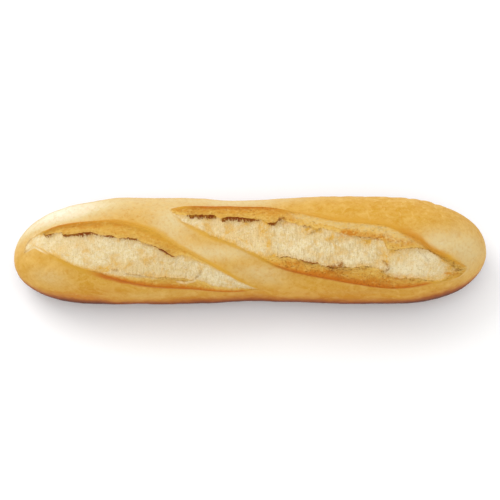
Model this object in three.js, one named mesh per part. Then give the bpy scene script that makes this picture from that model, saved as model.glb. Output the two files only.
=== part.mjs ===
// A short baguette (demi-baguette): one loaf, baked with two long slanting slashes along its crown.
//
// Millimetres, +Z up. The loaf lies along X on its flat base at z = 0, with the origin under the
// middle of its box. The back of the loaf faces +Y and the front faces -Y.
//
// The skin is a closed grid of stations along X and columns round the girth. A place on it is given by
// x and by the girth angle, in degrees: 0 at the back, 90 on the crown, 180 at the front and 270 below.
// The columns gather along the edges of both slashes, so that few faces are enough to hold them.
import * as THREE from "three";

// ---------------------------------------------------------------- the proved and baked loaf
const LENGTH = 278;
const EQUATOR = 17; // height of the widest line above the base
const SAG = 3; // how far the underside would bulge through the baking tray, which flattens it
const CROWN_ROUNDNESS = 2.2; // exponent of the upper half of the section, where 2 is an ellipse
const BELLY_ROUNDNESS = 2.6; // and of the lower half

// How the loaf rounds off towards its two ends: the length of the rounding at each, and its exponent.
const PLAN_CAP = { left: { length: 54, roundness: 2.2 }, right: { length: 50, roundness: 2.05 } };
const CROWN_CAP = { left: { length: 48, roundness: 2.2 }, right: { length: 44, roundness: 2.2 } };
const BELLY_CAP = { left: { length: 34, roundness: 2.2 }, right: { length: 30, roundness: 2.2 } };

// Width, height and sideways bend along the loaf, as [x, value].
const WIDTHS = [[-140, 58.4], [-97, 59.6], [-72, 63], [-30, 61.5], [0, 58.6], [24, 62.2], [62, 64.5],
  [80, 64.2], [103, 62], [140, 59]];
const HEIGHTS = [[-140, 42], [-80, 47], [0, 45], [80, 48], [140, 45]];
const BENDS = [[-140, -4], [-120, -2.1], [-97, -1], [-75, 0.4], [-60, 0.4], [-36, 1.1], [-15, 0.4],
  [9, 1.1], [50, 1.5], [80, 1.1], [110, 0.6], [140, 0]];

// The crust's own unevenness: lumps and dents of two sizes.
const DENTS = [
  { size: 34, amount: 0.7 },
  { size: 13, amount: 0.3 },
];

// ---------------------------------------------------------------- the two slashes
// Each slash opens between a back and a front edge, given as [x, girth angle]. Inside each edge lies a lip
// of skin that tore first and browned, then a crack where the skin tore again, and then the pale crumb.
// Lips are [x, width in mm]. Folds say how sharply the lip dips below the crust, and tears how far the
// crack gapes, both from 0 to 1. The lead is the girth angle to which the slash's line runs on, at the
// loaf's left and right ends.
const SLASHES = [
  {
    ends: [-47, 127],
    lead: [44, 136],
    back: {
      edge: [[-47, 58], [-42, 57.5], [-28, 56], [-10, 54.5], [6, 56], [29, 68], [52, 79], [76, 83],
        [85, 88], [97, 96], [104, 105.5], [115, 116], [121, 124], [127, 136]],
      lip: [[-47, 2], [-42, 5.6], [-34, 7.8], [-21, 8], [-15.5, 10], [-13, 9.2], [8, 10.2], [11, 12],
        [18, 7.8], [36, 7.2], [43, 5.8], [57, 6.8], [72, 7], [78.5, 11.4], [86, 9], [95, 5.4],
        [103, 2.2], [110, 3.1], [119, 6.5]],
      fold: [[-47, 0.6], [-36, 1], [24, 0.8], [50, 0.55], [90, 0.6], [127, 0.5]],
      tear: [[-38, 0], [-34, 0.8], [-21, 1], [-18, 0.1], [-15, 0.9], [-4, 1], [8, 0.2], [12, 0.8],
        [22, 0.1], [54, 0.1], [72, 0.4], [84, 0.4], [112, 0.3], [122, 0]],
      seed: 11.5,
    },
    front: {
      edge: [[-47, 60], [-46, 66], [-42, 74.5], [-36, 82.5], [-26, 90.5], [-14, 97.5], [0, 110], [17, 126],
        [46, 140], [81, 151], [104, 147.5], [116, 147.7], [121, 146], [127, 136]],
      lip: [[-2, 1], [7, 1.6], [12, 4.3], [24, 8], [34, 7.9], [43, 7.5], [57, 9.8], [69, 12.5], [86, 7],
        [94, 6], [101, 3.2], [109, 1.8], [118, 6]],
      fold: [[-47, 0.1], [0, 0.1], [20, 0.8], [60, 0.8], [104, 0.6], [127, 0.3]],
      tear: [[8, 0], [19, 0.5], [36, 0.7], [48, 0.8], [53, 0.4], [68, 0.4], [74, 0.1], [92, 0.3], [98, 0]],
      seed: 37.5,
    },
  },
  {
    ends: [-131, 9],
    lead: [88, 176],
    back: {
      edge: [[-131, 96], [-129.5, 85], [-127, 77.5], [-123, 75], [-106, 73], [-80, 76], [-57, 86],
        [-40, 101.5], [-17, 125.5], [-2, 147], [4, 155], [9, 160]],
      lip: [[-128, 0.6], [-120, 2], [-117, 5.2], [-108.6, 4.6], [-107, 7.2], [-91, 7.1], [-75.5, 9.1],
        [-65, 7], [-45, 7.6], [-38, 4.4], [-28, 3], [-17, 1.8], [9, 1]],
      fold: [[-131, 0.1], [-120, 0.4], [-112, 0.9], [-90, 0.8], [-60, 0.6], [-46, 0.3], [9, 0.15]],
      tear: [[-129, 0.2], [-119.5, 0.1], [-118, 0.7], [-110, 0.2], [-106, 0.7], [-96, 1], [-85, 0.5],
        [-79, 0.8], [-61, 0.1], [-49, 0.8], [-42, 0]],
      seed: 53.5,
    },
    front: {
      edge: [[-131, 98], [-128, 96], [-125, 93.5], [-118, 103.5], [-97, 126], [-74, 141], [-40, 153],
        [-14, 158.5], [0, 161.5], [9, 163]],
      lip: [[-97, 1], [-80, 2.2], [-68, 3.7], [-57, 5.8], [-48, 7.3], [-34, 7], [-22, 3.7], [-5, 2.4],
        [8, 1.4]],
      fold: [[-131, 0.5], [-122, 0.3], [-114, 0], [-90, 0.1], [-70, 0.4], [-50, 0.7], [9, 0.8]],
      tear: [[-58, 0], [-50, 0.2], [-38, 0.25], [-30, 0]],
      seed: 71.5,
    },
  },
];

const FULL_DEPTH_HALF_WIDTH = 7; // a slash narrower than this on each side of its line is shallower
const SHOULDER = { place: 3.5, reach: 4.5, height: 0.8 }; // the crust swells just outside the edge
const GROOVE = { place: 1.1, depth: 1.5 }; // the crust dips into the slash just inside the edge
const LIP = { sunk: 0.8, rise: 0.5, least: 0.4, unfolded: 0.4 }; // unfolded: the share left with no fold
const LIPS_ROOM = { open: 0.78, closed: 0.97 }; // how much of a slash's width both lips may take together
const CLOSING = [112, 116]; // the lips of the right-hand slash draw together over this length
const JAG = { amount: 0.35, size: 3.5 }; // how unevenly the skin tears
const CRACK = { width: 1.1, depth: 2.2, overhang: 0.6 };
const CRUMB = { edge: -0.6, middle: 0.9, lumps: 0.6, lumpSize: 7, seed: 3.5 };

// ---------------------------------------------------------------- the grid
const END_LENGTH = 40; // the stations draw together over this much of each end
const END_STATIONS = 15;
const MIDDLE_STATIONS = 66;
const LEAST_SPREAD = 7; // degrees from a slash's line to its outer columns, where it is narrow or has ended
const LEAD_OUT = 45; // length over which a slash's columns turn to their lead beyond its right end
const CLOSED_LIP = 0.4; // where a slash has ended, its lips' columns take this share of the spread

// How the stretches between the guide angles are divided, as shares of a stretch.
const BACK_STEPS = even(12);
const BRIDGE_STEPS = even(5);
const FRONT_STEPS = even(10);
const BACK_LIP_STEPS = [0, 0.2, 0.45, 0.75];
const CRUMB_STEPS = [0, 0.035, 0.1, 0.24, 0.42, 0.58, 0.76, 0.9, 0.965];
const FRONT_LIP_STEPS = [0, 0.25, 0.55, 0.8];

// ---------------------------------------------------------------- small tools
const { clamp, lerp, degToRad } = THREE.MathUtils;
const { sin, cos, abs, sign, min, max, sqrt, exp, floor, imul, PI } = Math;

function even(count) {
  return Array.from({ length: count }, (_, i) => i / count);
}

// 0 before low, 1 after high, and a smooth rise between them.
function ramp(low, high, value) {
  return THREE.MathUtils.smoothstep(value, low, high);
}

// A smooth curve through [place, value] points that never overshoots them, level beyond its ends.
function curve(points) {
  const last = points.length - 1;
  const slope = (i) => (points[i + 1][1] - points[i][1]) / (points[i + 1][0] - points[i][0]);
  const tangents = points.map((point, i) => {
    const before = slope(max(i - 1, 0));
    const after = slope(min(i, last - 1));
    return before * after > 0 ? (2 * before * after) / (before + after) : 0;
  });
  return (place) => {
    const x = clamp(place, points[0][0], points[last][0]);
    let i = 0;
    while (i < last - 1 && x > points[i + 1][0]) i++;
    const span = points[i + 1][0] - points[i][0];
    const t = (x - points[i][0]) / span;
    const bow = (1 - t) * tangents[i] - t * tangents[i + 1];
    return lerp(points[i][1], points[i + 1][1], ramp(0, 1, t)) + t * (1 - t) * span * bow;
  };
}

// Repeatable smooth noise from -1 to 1, with lumps about one unit across.
function lattice(i, j, k) {
  let h = imul(i, 374761393) ^ imul(j, 668265263) ^ imul(k, 1274126177);
  h = imul(h ^ (h >>> 13), 1274126177);
  return (2 * ((h ^ (h >>> 16)) >>> 0)) / 0xffffffff - 1;
}

function noise(...place) {
  const [i, j, k] = place.map(floor);
  const [u, v, w] = [place[0] - i, place[1] - j, place[2] - k].map((t) => ramp(0, 1, t));
  const edge = (b, c) => lerp(lattice(i, j + b, k + c), lattice(i + 1, j + b, k + c), u);
  return lerp(lerp(edge(0, 0), edge(1, 0), v), lerp(edge(0, 1), edge(1, 1), v), w);
}

// ---------------------------------------------------------------- the skin before it is slashed
const width = curve(WIDTHS);
const height = curve(HEIGHTS);
const bend = curve(BENDS);

// The share of its full size that the loaf has reached at x.
function capShare(x, { left, right }) {
  const { length, roundness } = x < 0 ? left : right;
  const reach = clamp((LENGTH / 2 - abs(x)) / length, 0, 1);
  return (1 - (1 - reach) ** roundness) ** (1 / roundness);
}

function formPoint(x, angle) {
  const side = cos(degToRad(angle));
  const rise = sin(degToRad(angle));
  const roundness = rise > 0 ? CROWN_ROUNDNESS : BELLY_ROUNDNESS;
  const halfWidth = (width(x) / 2) * capShare(x, PLAN_CAP);
  const crown = (height(x) - EQUATOR) * capShare(x, CROWN_CAP);
  const belly = -(EQUATOR + SAG) * capShare(x, BELLY_CAP);
  const y = bend(x) + halfWidth * sign(side) * abs(side) ** (2 / roundness);
  const z = EQUATOR + (rise > 0 ? crown : belly) * abs(rise) ** (2 / roundness);
  return new THREE.Vector3(x, y, z);
}

function dent({ x, y, z }) {
  return DENTS.reduce((sum, { size, amount }) => sum + amount * noise(x / size, y / size, z / size), 0);
}

// ---------------------------------------------------------------- the relief of a slash
const GIRTH_RADIUS = 30; // turns girth angle into millimetres over the crown
const MM_PER_DEGREE = degToRad(GIRTH_RADIUS);

const slashes = SLASHES.map(({ back, front, ...rest }) => ({
  ...rest,
  sides: [back, front].map(({ edge, lip, fold, tear, seed }) => (
    { edge: curve(edge), lip: curve(lip), fold: curve(fold), tear: curve(tear), seed }
  )),
}));

// The slash at x: its line and half width in degrees, its depth from 0 to 1, and its two sides in mm.
function slashAt({ ends, lead, sides }, x) {
  const [start, end] = ends;
  const inside = clamp(x, start, end);
  const [back, front] = sides.map((side) => side.edge(inside));
  let line = (back + front) / 2;
  if (x < start) line = lerp(lead[0], line, ramp(-LENGTH / 2, start, x));
  if (x > end) line = lerp(line, lead[1], ramp(end, end + LEAD_OUT, x));
  const half = x === inside ? (front - back) / 2 : 0;
  const halfWidth = half * MM_PER_DEGREE;
  const spread = (half ** 4 + LEAST_SPREAD ** 4) ** 0.25;
  const wanted = sides.map((side) =>
    max(side.lip(x) + JAG.amount * noise(x / JAG.size, side.seed, 0), LIP.least));
  const room = 2 * halfWidth * lerp(LIPS_ROOM.open, LIPS_ROOM.closed, ramp(...CLOSING, x));
  const squeeze = min(1, room / (wanted[0] + wanted[1]));
  const lips = wanted.map((lip) => lip * squeeze);
  return {
    line,
    half,
    spread,
    depth: ramp(0, FULL_DEPTH_HALF_WIDTH, halfWidth),
    lips,
    folds: sides.map((side) => side.fold(x)),
    tears: sides.map((side) => side.tear(x)),
    lipSpreads: lips.map((lip) => (half > 0 ? (spread * lip) / halfWidth : spread * CLOSED_LIP)),
  };
}

// How far a slash raises the skin at x and a girth angle, and how far it pulls it round the girth, in mm.
function slashRelief(at, x, angle) {
  const inward = [angle - at.line + at.half, at.line + at.half - angle].map((turn) => turn * MM_PER_DEGREE);
  const outside = -min(...inward);
  if (outside > 0 || at.depth === 0) {
    const swell = exp(-(((outside - SHOULDER.place) / SHOULDER.reach) ** 2));
    return { lift: at.depth * SHOULDER.height * swell * ramp(0, SHOULDER.place, outside), pull: 0 };
  }

  const onLip = inward.findIndex((distance, side) => distance <= at.lips[side]);
  if (onLip >= 0) {
    const distance = inward[onLip];
    const lip = at.lips[onLip];
    const fold = at.folds[onLip];
    const groove = GROOVE.depth * fold * exp(-(((distance - GROOVE.place) / GROOVE.place) ** 2));
    const fall = LIP.rise * ramp(0, lip, distance) - LIP.sunk * ramp(0, GROOVE.place, distance);
    const lift = fall * lerp(LIP.unfolded, 1, fold) - groove;
    const pull = CRACK.overhang * at.tears[onLip] * ramp(0, lip, distance);
    return { lift: at.depth * lift, pull: at.depth * (onLip === 0 ? pull : -pull) };
  }

  const across = inward.map((distance, side) => distance - at.lips[side]);
  const share = across[0] / (across[0] + across[1]);
  const dome = 4 * share * (1 - share);
  const grain = [x, angle * MM_PER_DEGREE].map((place) => place / CRUMB.lumpSize);
  const lumps = CRUMB.lumps * dome * noise(...grain, CRUMB.seed);
  const crumb = lerp(CRUMB.edge, CRUMB.middle, sqrt(dome)) + lumps;
  const cracks = across.map((distance, side) =>
    CRACK.depth * at.tears[side] * (1 - ramp(CRACK.width / 3, CRACK.width, distance)));
  return { lift: at.depth * (crumb - cracks[0] - cracks[1]), pull: 0 };
}

// The finished skin: the form, moved along its normal and round the girth.
const NUDGE = 0.05;
function skinPoint(x, angle, found) {
  const here = formPoint(x, angle);
  const along = formPoint(x + NUDGE, angle).sub(formPoint(x - NUDGE, angle));
  const round = formPoint(x, angle + NUDGE).sub(formPoint(x, angle - NUDGE)).normalize();
  const normal = new THREE.Vector3().crossVectors(along, round).normalize();
  const reliefs = found.map((at) => slashRelief(at, x, angle));
  const lift = reliefs.reduce((sum, relief) => sum + relief.lift, dent(here));
  const pull = reliefs.reduce((sum, relief) => sum + relief.pull, 0);
  const point = here.addScaledVector(normal, lift).addScaledVector(round, pull);
  point.z = max(point.z, 0); // the tray keeps the base flat
  return point;
}

// ---------------------------------------------------------------- stations and columns
function stations() {
  const shoulder = LENGTH / 2 - END_LENGTH;
  const ends = Array.from({ length: END_STATIONS - 1 }, (_, i) =>
    shoulder + END_LENGTH * cos(((i + 1) / END_STATIONS) * (PI / 2)));
  const middle = Array.from({ length: MIDDLE_STATIONS + 1 }, (_, i) =>
    shoulder * ((2 * i) / MIDDLE_STATIONS - 1));
  return [...ends.map((x) => -x), ...middle, ...ends.reverse()];
}

// The columns' girth angles at a station, from the middle of the base round the back and over the crown.
function columns(found) {
  const guides = found.flatMap(({ line, spread, lipSpreads }) => [
    line - spread,
    line - spread + lipSpreads[0],
    line + spread - lipSpreads[1],
    line + spread,
  ]);
  const ends = [-90, ...guides, 270];
  const slashSteps = [BACK_LIP_STEPS, CRUMB_STEPS, FRONT_LIP_STEPS];
  const steps = [BACK_STEPS, ...slashSteps, BRIDGE_STEPS, ...slashSteps, FRONT_STEPS];
  return steps.flatMap((shares, i) => shares.map((share) => lerp(ends[i], ends[i + 1], share)));
}

// Rows of points joined into a closed skin, with a fan to a tip at each end.
function skinGeometry(rows, tips) {
  const count = rows[0].length;
  const place = (row, column) => 1 + row * count + (column % count);
  const last = rows.length - 1;
  const index = [];
  for (let j = 0; j < count; j++) {
    index.push(0, place(0, j + 1), place(0, j));
    for (let i = 0; i < last; i++) {
      index.push(place(i, j), place(i, j + 1), place(i + 1, j + 1));
      index.push(place(i, j), place(i + 1, j + 1), place(i + 1, j));
    }
    index.push(place(last, j), place(last, j + 1), place(last + 1, 0));
  }
  const geometry = new THREE.BufferGeometry().setFromPoints([tips[0], ...rows.flat(), tips[1]]);
  geometry.setIndex(index);
  return geometry;
}

function loafGeometry() {
  const rows = stations().map((x) => {
    const found = slashes.map((slash) => slashAt(slash, x));
    return columns(found).map((angle) => skinPoint(x, angle, found));
  });
  const tips = [-LENGTH / 2, LENGTH / 2].map((x) => new THREE.Vector3(x, bend(x), EQUATOR));
  const geometry = skinGeometry(rows, tips);
  geometry.computeBoundingBox();
  const middle = geometry.boundingBox.getCenter(new THREE.Vector3());
  geometry.translate(-middle.x, -middle.y, 0);
  geometry.computeVertexNormals();
  return geometry;
}

// ---------------------------------------------------------------- the part
const crust = new THREE.MeshStandardMaterial({ name: "crust", color: 0xdca456, roughness: 0.62 });
const baguette = new THREE.Mesh(loafGeometry(), crust);
baguette.name = "baguette";

const part = new THREE.Group();
part.name = "demi_baguette";
part.add(baguette);

export default part;
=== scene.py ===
"""A short crusty baguette with two long slashes torn open along its crown, on a pale table."""
import math

import bpy
import numpy as np
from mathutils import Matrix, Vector


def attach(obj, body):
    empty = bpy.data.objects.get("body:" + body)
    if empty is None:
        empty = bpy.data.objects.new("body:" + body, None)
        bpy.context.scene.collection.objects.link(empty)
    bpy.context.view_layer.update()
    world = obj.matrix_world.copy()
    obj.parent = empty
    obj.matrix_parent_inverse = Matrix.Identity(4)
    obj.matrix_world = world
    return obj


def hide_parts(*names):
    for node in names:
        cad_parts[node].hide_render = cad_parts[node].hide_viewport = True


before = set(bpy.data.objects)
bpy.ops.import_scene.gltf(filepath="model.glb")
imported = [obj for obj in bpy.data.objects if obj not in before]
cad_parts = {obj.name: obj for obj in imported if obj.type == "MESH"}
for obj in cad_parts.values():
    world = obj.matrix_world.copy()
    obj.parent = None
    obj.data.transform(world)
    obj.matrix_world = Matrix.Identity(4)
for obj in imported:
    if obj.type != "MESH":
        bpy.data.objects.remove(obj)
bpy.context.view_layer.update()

# ------------------------------------------------------------------ the proved and baked loaf
# One piece of white dough, rolled by hand, proved and baked on a tray that keeps its base flat. Its skin
# is worked out in millimetres from x, along the loaf, and from the girth angle in degrees: 0 at the back,
# 90 on the crown, 180 at the front and 270 below.
MM = 0.001
LENGTH = 278
EQUATOR = 17.0  # height of the widest line
SAG = 3.0  # how far the base would bulge down through the tray
CROWN_ROUNDNESS = 2.2
BELLY_ROUNDNESS = 2.6
PLAN_CAP = {"left": (54, 2.2), "right": (50, 2.05)}  # how long each end is, and how blunt
CROWN_CAP = {"left": (48, 2.2), "right": (44, 2.2)}
BELLY_CAP = {"left": (34, 2.2), "right": (30, 2.2)}
WIDTHS = [(-140, 58.4), (-97, 59.6), (-72, 63), (-30, 61.5), (0, 58.6), (24, 62.2), (62, 64.5), (80, 64.2),
          (103, 62), (140, 59)]
HEIGHTS = [(-140, 42), (-80, 47), (0, 45), (80, 48), (140, 45)]
BENDS = [(-140, -4), (-120, -2.1), (-97, -1), (-75, 0.4), (-60, 0.4), (-36, 1.1), (-15, 0.4), (9, 1.1),
         (50, 1.5), (80, 1.1), (110, 0.6), (140, 0)]


def ramp(low, high, value):
    """0 before low, 1 after high, and a smooth rise between them."""
    t = np.clip((value - low) / (high - low), 0, 1)
    return t * t * (3 - 2 * t)


def bump(centre, reach, value):
    """1 at the centre, falling away smoothly on both sides of it."""
    return np.exp(-(((value - centre) / reach) ** 2))


def mix(a, b, share):
    return a + (b - a) * share


def curve(points):
    """A smooth curve through (place, value) points that never overshoots, level beyond its ends."""
    places, values = (np.array(column, float) for column in zip(*points))
    spans = np.diff(places)
    slopes = np.diff(values) / spans
    product = slopes[:-1] * slopes[1:]
    inner = np.where(product > 0, 2 * product / (slopes[:-1] + slopes[1:] + (product <= 0)), 0)
    tangents = np.concatenate([slopes[:1], inner, slopes[-1:]])

    def value_at(place):
        x = np.clip(place, places[0], places[-1])
        i = np.clip(np.searchsorted(places, x, side="right") - 1, 0, len(spans) - 1)
        t = (x - places[i]) / spans[i]
        bow = (1 - t) * tangents[i] - t * tangents[i + 1]
        return mix(values[i], values[i + 1], ramp(0, 1, t)) + t * (1 - t) * spans[i] * bow

    return value_at


width = curve(WIDTHS)
height = curve(HEIGHTS)
bend = curve(BENDS)


def cap_share(x, cap):
    """The share of its full size that the loaf has reached at x."""
    length, roundness = (np.where(x < 0, left, right) for left, right in zip(cap["left"], cap["right"]))
    reach = np.clip((LENGTH / 2 - np.abs(x)) / length, 0, 1)
    return (1 - (1 - reach) ** roundness) ** (1 / roundness)


def form_point(x, angle):
    side, rise = np.cos(np.radians(angle)), np.sin(np.radians(angle))
    roundness = np.where(rise > 0, CROWN_ROUNDNESS, BELLY_ROUNDNESS)
    half_width = width(x) / 2 * cap_share(x, PLAN_CAP)
    crown = (height(x) - EQUATOR) * cap_share(x, CROWN_CAP)
    belly = -(EQUATOR + SAG) * cap_share(x, BELLY_CAP)
    y = bend(x) + half_width * np.sign(side) * np.abs(side) ** (2 / roundness)
    z = EQUATOR + np.where(rise > 0, crown, belly) * np.abs(rise) ** (2 / roundness)
    return np.stack([x + 0 * y, y, z], -1)


# ------------------------------------------------------------------ the two slashes
# A blade opens the dough in two long slanting cuts before it is baked. As the loaf springs up in the oven,
# each cut opens: the cut edge of the crust rolls up, a lip of skin inside it dries and browns, the skin
# tears again along a ragged crack, and pale crumb swells out between the two cracks.
SLASHES = [
    {
        "ends": (-47, 127),
        "lead": (44, 136),
        "middle": [(-47, 0.2), (-20, 0.8), (0, 1.1), (11, 0.1), (24, 1.2), (38, 0.7), (55, 1.2),
                   (74, 0.6), (78, -0.2), (86, 0.9), (101, 1.5), (117, 0.6), (127, 0)],
        "strands": [(-47, 0.3), (0, 0.6), (20, 1), (70, 1), (80, 0.3), (127, 0.2)],
        "back": {
            "edge": [(-47, 58), (-42, 57.5), (-28, 56), (-10, 54.5), (6, 56), (29, 68), (52, 79),
                     (76, 83), (85, 88), (97, 96), (104, 105.5), (115, 116), (121, 124), (127, 136)],
            "lip": [(-47, 2), (-42, 5.6), (-34, 7.8), (-21, 8), (-18, 9), (-15.5, 10), (-13, 9.2),
                    (3, 10.2), (8, 10.2), (10.5, 12), (14, 11.4), (18, 7.8), (29, 7.4), (36, 7.2),
                    (43, 5.8), (54, 5.8), (57, 6.8), (64, 6.8), (72, 7), (76.5, 8.2), (78.5, 11.4),
                    (82, 10.8), (86, 9), (90, 7.2), (94.5, 5.4), (99, 3.8), (103, 2.2), (107, 2.2),
                    (110, 3.1), (115, 5), (119, 6.5), (127, 6.5)],
            "fold": [(-47, 0.6), (-36, 1), (24, 0.8), (50, 0.55), (90, 0.6), (127, 0.5)],
            "tear": [(-38, 0), (-34, 0.8), (-21, 1), (-18.5, 0.1), (-15, 0.9), (-4, 1), (5, 0.5),
                     (8, 0.2), (12, 0.8), (18, 0.6), (22, 0.1), (40, 0.05), (54, 0.1), (62, 0.35),
                     (72, 0.4), (76, 0.1), (84, 0.4), (112, 0.3), (122, 0)],
            "lap": [(-47, -0.8), (14, -0.9), (30, -0.4), (60, -0.6), (127, -0.9)],
            "crease": [(-47, 0), (-38, 0.6), (-20, 0.9), (8, 0.8), (24, 0.58), (70, 0.54), (82, 0.55),
                       (92, 0.66), (110, 0.62), (118, 0.3), (127, 0)],
            "toast": [(-40, 0.8), (14, 1), (28, 0.6), (38, 0.25), (60, 0.2), (76, 0.3), (88, 0.8),
                      (100, 0.9)],
            "above": [(-40, 1.6), (14, 1.8), (40, 4), (80, 5), (90, 4.4), (104, 3.4)],
            "under": [(-40, 2.2), (14, 2.2), (40, 1.2), (84, 1.2), (96, 2.4), (112, 1.8)],
            "bleach": [(20, 0), (30, 0.9), (84, 0.9), (96, 0.6), (104, 0.2), (110, 0)],
            "rim": [(-47, 0.4), (-40, 0)],
            "porous": 0.7,
            "serration": 0.45,
            "seed": 11.5,
        },
        "front": {
            "edge": [(-47, 60), (-46, 66), (-42, 74.5), (-36, 82.5), (-26, 90.5), (-14, 97.5), (0, 110),
                     (17, 126), (46, 140), (81, 151), (104, 147.5), (116, 147.7), (121, 146), (127, 136)],
            "lip": [(-2, 1), (7, 1.6), (12, 4.3), (17, 6.2), (24, 8), (34, 7.9), (40, 8), (43, 7.5),
                    (50, 8.9), (57, 9.8), (69, 12.5), (76, 10), (86, 6.9), (94, 6), (101, 3.2),
                    (109, 1.8), (113, 3), (118, 6), (127, 6)],
            "fold": [(-47, 0.1), (0, 0.1), (20, 0.8), (60, 0.8), (104, 0.6), (127, 0.3)],
            "tear": [(8, 0), (14, 0.15), (19, 0.5), (24, 0.35), (31, 0.6), (36, 0.7), (42, 0.45),
                     (48, 0.8), (53, 0.4), (68, 0.35), (74, 0.05), (82, 0.25), (92, 0.3), (98, 0.1)],
            "lap": [(-47, -0.5), (8, -0.3), (18, 0.1), (70, 0.2), (80, -0.5), (127, -0.8)],
            "crease": [(-47, 0), (-40, 0.3), (0, 0.42), (8, 0.5), (20, 0.8), (40, 0.95), (56, 1), (96, 1),
                       (104, 0.6), (112, 0.2), (127, 0)],
            "toast": [(0, 0.5), (12, 1), (90, 0.9), (104, 0.6), (120, 0.8)],
            "above": [(-47, 1.6), (0, 1.7), (20, 1.4), (60, 1.6), (110, 2)],
            "under": [(-47, 1.3), (0, 1.3), (20, 1.8), (60, 3.6), (84, 3), (100, 2), (110, 2)],
            "bleach": [(-47, 0), (127, 0)],
            "rim": [(-47, 0), (127, 0)],
            "porous": 1.0,
            "serration": 0.9,
            "seed": 37.5,
        },
    },
    {
        "ends": (-131, 9),
        "lead": (88, 176),
        "middle": [(-131, -0.2), (-122, 0.1), (-108, 0.8), (-80, 1.1), (-60, 0.8), (-36, 0.9), (-26, 0.5),
                   (12, 0.3)],
        "strands": [(-131, 0.1), (-100, 0.3), (-60, 0.5), (-20, 0.6), (12, 0.4)],
        "back": {
            "edge": [(-131, 96), (-129.5, 85), (-127, 77.5), (-123, 75), (-118, 74.5), (-106, 73),
                     (-80, 76), (-57, 86), (-40, 101.5), (-17, 125.5), (-2, 147), (4, 155), (9, 160)],
            "lip": [(-128, 0.6), (-120, 2), (-117, 5.2), (-114, 5), (-108.6, 4.6), (-107, 7.2),
                    (-100, 7.6), (-91, 7.1), (-86, 8.1), (-79, 8.3), (-75.5, 9.1), (-72, 8.4), (-65, 7),
                    (-61, 7.9), (-57, 7.2), (-45, 7.6), (-38, 4.4), (-28, 3), (-17, 1.8), (-8, 1.6),
                    (9, 1)],
            "fold": [(-131, 0.1), (-120, 0.4), (-112, 0.9), (-90, 0.8), (-60, 0.6), (-46, 0.3),
                     (12, 0.15)],
            "tear": [(-129, 0.25), (-125, 0.1), (-119.5, 0.1), (-118, 0.7), (-114, 0.6), (-110, 0.15),
                     (-108, 0.3), (-106, 0.7), (-101, 0.6), (-96, 1), (-92, 0.9), (-85, 0.5), (-79, 0.8),
                     (-76.5, 0.3), (-73, 0.65), (-65, 0.6), (-61, 0.15), (-54, 0.5), (-49, 1), (-45, 0.9),
                     (-42, 0)],
            "lap": [(-131, -0.3), (-118, -0.6), (-90, -0.9), (-46, -0.8), (-38, -0.3), (12, -0.3)],
            "crease": [(-131, 0), (-121, 0.3), (-114, 0.75), (-90, 0.65), (-65, 0.55), (-50, 0.4),
                       (0, 0.42), (6, 0.3), (9, 0)],
            "toast": [(-126, 0.2), (-116, 0.9), (-60, 1), (-44, 0.9), (-36, 0.3)],
            "above": [(-119, 0.7), (-90, 0.9), (-70, 2.6), (-50, 3), (-36, 1.8), (-10, 1.7)],
            "under": [(-119, 1.6), (-105, 1.8), (-90, 1.6), (-70, 2.4), (-50, 3), (-36, 1.5), (-10, 1.3)],
            "bleach": [(-131, 0), (12, 0)],
            "rim": [(-131, 0.4), (-124, 0.5), (-114, 0.2), (-100, 0)],
            "porous": 0.4,
            "serration": 0.5,
            "seed": 53.5,
        },
        "front": {
            "edge": [(-131, 98), (-128, 96), (-125, 93.5), (-122, 98), (-118, 103.5), (-112, 111),
                     (-97, 126), (-74, 141), (-40, 153), (-14, 158.5), (0, 161.5), (9, 163)],
            "lip": [(-97, 1), (-86, 2), (-80, 2.2), (-68, 3.7), (-57, 5.8), (-48, 7.3), (-34, 7),
                    (-26, 6.3), (-22, 3.7), (-14, 3.2), (-5, 2.4), (8, 1.4)],
            "fold": [(-131, 0.5), (-122, 0.3), (-114, 0), (-90, 0.05), (-70, 0.4), (-50, 0.7), (12, 0.8)],
            "tear": [(-90, 0), (-83, 0.1), (-80, 0), (-58, 0.05), (-50, 0.2), (-38, 0.25), (-30, 0),
                     (0, 0.05)],
            "lap": [(-131, -0.2), (-112, -0.4), (-90, -0.4), (-50, -0.2), (12, -0.2)],
            "crease": [(-131, 0), (-118, 0.1), (-108, 0.35), (-95, 0.5), (-80, 0.9), (-70, 1), (0, 1.1),
                       (6, 0.8), (9, 0)],
            "toast": [(-100, 0.5), (-70, 0.8), (-50, 0.9), (-20, 0.9), (8, 0.7)],
            "above": [(-110, 3), (-60, 2.6), (-30, 2.2), (8, 1.6)],
            "under": [(-110, 2), (-60, 2.6), (-30, 2.2), (8, 1.3)],
            "bleach": [(-131, 0), (12, 0)],
            "rim": [(-131, 0.7), (-121, 0.8), (-118, 0.3), (-115, 0)],
            "porous": 0.5,
            "serration": 0.35,
            "seed": 71.5,
        },
    },
]
GIRTH_RADIUS = 30  # turns girth angle into millimetres over the crown
MM_PER_DEGREE = math.radians(GIRTH_RADIUS)
FULL_DEPTH_HALF_WIDTH = 7  # a slash narrower than this on each side of its line is shallower
LEAD_OUT = 45  # how far past its end a slash's line takes to swing to its lead angle
LEAST_SPREAD = 7  # degrees that the grid gives each side of a slash where the slash is closed
SPREAD_ROUNDING = 4  # how sharply the grid turns from that to the slash's own half width
JAG = {"height": 0.35, "size": 3.5, "fine_size": 1.2}  # how ragged a lip's torn edge is
LEAST_LIP = 0.4
CLOSED_LIP = 0.4  # the share of the spread that a lip keeps where the slash is closed
LIPS_ROOM = {"open": 0.78, "closed": 0.97}  # the share of a slash's width that its lips may fill
CLOSING = (112, 116)  # along the loaf, where the lips may come to meet
NARROWEST = 1e-6  # a shut lip keeps this, so that nothing is divided by 0
TINY = 1e-9
HASH = (374761393, 668265263, 1274126177)  # large primes that turn a cell's place into a number
WORD = 0xFFFFFFFF  # the largest number of 32 bits
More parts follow.
